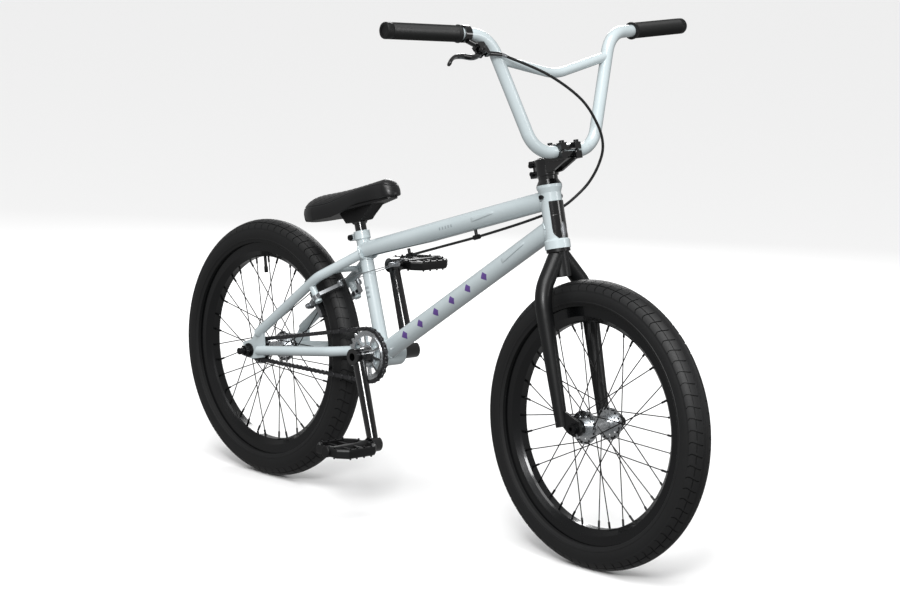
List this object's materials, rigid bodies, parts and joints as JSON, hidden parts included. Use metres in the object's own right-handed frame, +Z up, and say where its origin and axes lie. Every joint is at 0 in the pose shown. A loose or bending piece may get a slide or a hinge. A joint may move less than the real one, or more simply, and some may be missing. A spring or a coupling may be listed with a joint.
{
  "type": "bmx bike",
  "caption": "Freestyle bike with a low sloping frame, high rise handlebar with crossbar, small wide-tyred wheels, single-speed chain drive, platform pedals and a rear brake.",
  "frame": {"origin": "on the ground, midway between the wheel axles, on the mid plane", "axes": "+X forwards, +Y to the rider's left, +Z up"},
  "size_m": [1.4118, 0.7414, 0.9548],
  "materials": {
    "frame_paint": "gloss pale cool grey",
    "badge": "satin black with a raised plain shape",
    "black_hardware": "black oxide",
    "bearing_steel": "ground steel",
    "chain_steel": "dark steel",
    "driver_steel": "dark steel",
    "cable_housing": "black sheath",
    "wire": "bare wire",
    "fork_paint": "satin black",
    "stem_black": "gloss black",
    "grip_rubber": "ribbed matt black",
    "lever_black": "satin black",
    "tyre_rubber": "matt black with a moulded tread",
    "rim_black": "gloss black",
    "spoke_black": "black",
    "hub_silver": "polished",
    "crank_black": "gloss black",
    "sprocket_silver": "polished",
    "axle_steel": "plain",
    "pedal_black": "moulded black",
    "post_black": "gloss black",
    "seat_shell": "moulded black",
    "seat_cover": "black stitched cover",
    "brake_silver": "satin"
  },
  "bodies": {
    "frame": {"head_tube": "frame_paint", "top_tube": "frame_paint", "down_tube": "frame_paint", "seat_tube": "frame_paint", "bottom_bracket_shell": "frame_paint", "chain_stays": "frame_paint", "seat_stays": "frame_paint", "stay_bridge": "frame_paint", "dropouts": "frame_paint", "cable_guides": "black_hardware", "head_badge": "badge", "tab_bolts": "black_hardware", "headset_bearings": "bearing_steel", "crank_bearings": "bearing_steel", "seat_clamp": "frame_paint", "seat_clamp_bolt": "black_hardware", "rear_axle": "black_hardware", "rear_axle_nuts": "black_hardware", "chain": "chain_steel", "brake_cable": "cable_housing", "straddle_cable": "wire"},
    "steering": {"fork_steerer": "fork_paint", "fork_legs": "fork_paint", "headset_cover": "stem_black", "stem_spacer": "stem_black", "stem_body": "stem_black", "stem_cap": "stem_black", "stem_bolts": "black_hardware", "handlebar": "frame_paint", "grips": "grip_rubber", "lever_clamp": "lever_black", "front_axle": "black_hardware", "front_axle_bolts": "black_hardware"},
    "front_wheel": {"front_tyre": "tyre_rubber", "front_rim": "rim_black", "front_spokes": "spoke_black", "front_hub": "hub_silver", "front_hub_bearings": "bearing_steel"},
    "rear_wheel": {"rear_tyre": "tyre_rubber", "rear_rim": "rim_black", "rear_spokes": "spoke_black", "rear_hub": "hub_silver", "rear_hub_bearings": "bearing_steel"},
    "rear_driver": {"driver": "driver_steel"},
    "crank": {"crank_spindle": "crank_black", "right_crank_arm": "crank_black", "left_crank_arm": "crank_black", "sprocket": "sprocket_silver", "pedal_axles": "axle_steel"},
    "right_pedal": {"right_pedal": "pedal_black"},
    "left_pedal": {"left_pedal": "pedal_black"},
    "post": {"seat_post": "post_black"},
    "seat": {"seat_base": "seat_shell", "seat_padding": "seat_cover", "seat_bolt": "bearing_steel"},
    "lever": {"brake_lever": "lever_black"},
    "right_arm": {"right_brake_arm": "brake_silver"},
    "left_arm": {"left_brake_arm": "brake_silver"},
    "yoke": {"brake_yoke": "brake_silver"}
  },
  "joints": [
    {"name": "steer", "type": "hinge", "parent": "frame", "child": "steering", "pos_m": [0.30628, 0, 0.666], "axis": [-0.2588, 0, 0.9659], "range_deg": [-70, 70], "deforming": ["brake_cable"]},
    {"name": "front_wheel_spin", "type": "hinge", "parent": "steering", "child": "front_wheel", "pos_m": [0.449, 0, 0.257], "axis": [0, 1, 0], "continuous": true},
    {"name": "rear_wheel_spin", "type": "hinge", "parent": "frame", "child": "rear_wheel", "pos_m": [-0.449, 0, 0.257], "axis": [0, 1, 0], "continuous": true},
    {"name": "crank_spin", "type": "hinge", "parent": "frame", "child": "crank", "pos_m": [-0.11641, 0, 0.297], "axis": [0, 1, 0], "continuous": true, "deforming": ["chain"]},
    {"name": "driver_spin", "type": "hinge", "parent": "frame", "child": "rear_driver", "pos_m": [-0.449, 0, 0.257], "axis": [0, 1, 0], "continuous": true, "deforming": ["chain"]},
    {"name": "right_pedal_spin", "type": "hinge", "parent": "crank", "child": "right_pedal", "pos_m": [-0.04726, 0, 0.1417], "axis": [0, 1, 0], "continuous": true},
    {"name": "left_pedal_spin", "type": "hinge", "parent": "crank", "child": "left_pedal", "pos_m": [-0.18555, 0, 0.4523], "axis": [0, 1, 0], "continuous": true},
    {"name": "seat_height", "type": "slide", "parent": "frame", "child": "post", "axis": [-0.3173, 0, 0.9483], "range_m": [-0.008, 0.06]},
    {"name": "seat_tilt", "type": "hinge", "parent": "post", "child": "seat", "pos_m": [-0.19954, 0, 0.54546], "axis": [0, 1, 0], "range_deg": [-12, 12]},
    {"name": "lever_squeeze", "type": "hinge", "parent": "steering", "child": "lever", "pos_m": [0.30976, -0.18163, 0.90493], "axis": [-0.7193, 0, -0.6947], "range_deg": [0, 20], "stiffness_Nm_per_rad": 0.8, "springref_deg": -20.05, "deforming": ["straddle_cable"]},
    {"name": "right_arm_close", "type": "hinge", "parent": "frame", "child": "right_arm", "pos_m": [-0.25799, -0.05, 0.38803], "axis": [0.6253, 0, -0.7804], "range_deg": [0, 4], "deforming": ["straddle_cable"]},
    {"name": "left_arm_close", "type": "hinge", "parent": "frame", "child": "left_arm", "pos_m": [-0.25799, 0.05, 0.38803], "axis": [-0.6253, 0, 0.7804], "range_deg": [0, 4], "deforming": ["straddle_cable"]},
    {"name": "yoke_pull", "type": "slide", "parent": "frame", "child": "yoke", "axis": [0.8812, 0, 0.4728], "range_m": [0, 0.003], "deforming": ["straddle_cable"]}
  ],
  "couplings": [
    {"joint": "driver_spin", "follows": "crank_spin", "ratio": 2.7778},
    {"joint": "right_arm_close", "follows": "lever_squeeze", "ratio": 0.2},
    {"joint": "left_arm_close", "follows": "lever_squeeze", "ratio": 0.2},
    {"joint": "yoke_pull", "follows": "lever_squeeze", "m_per_rad": 0.008594}
  ]
}
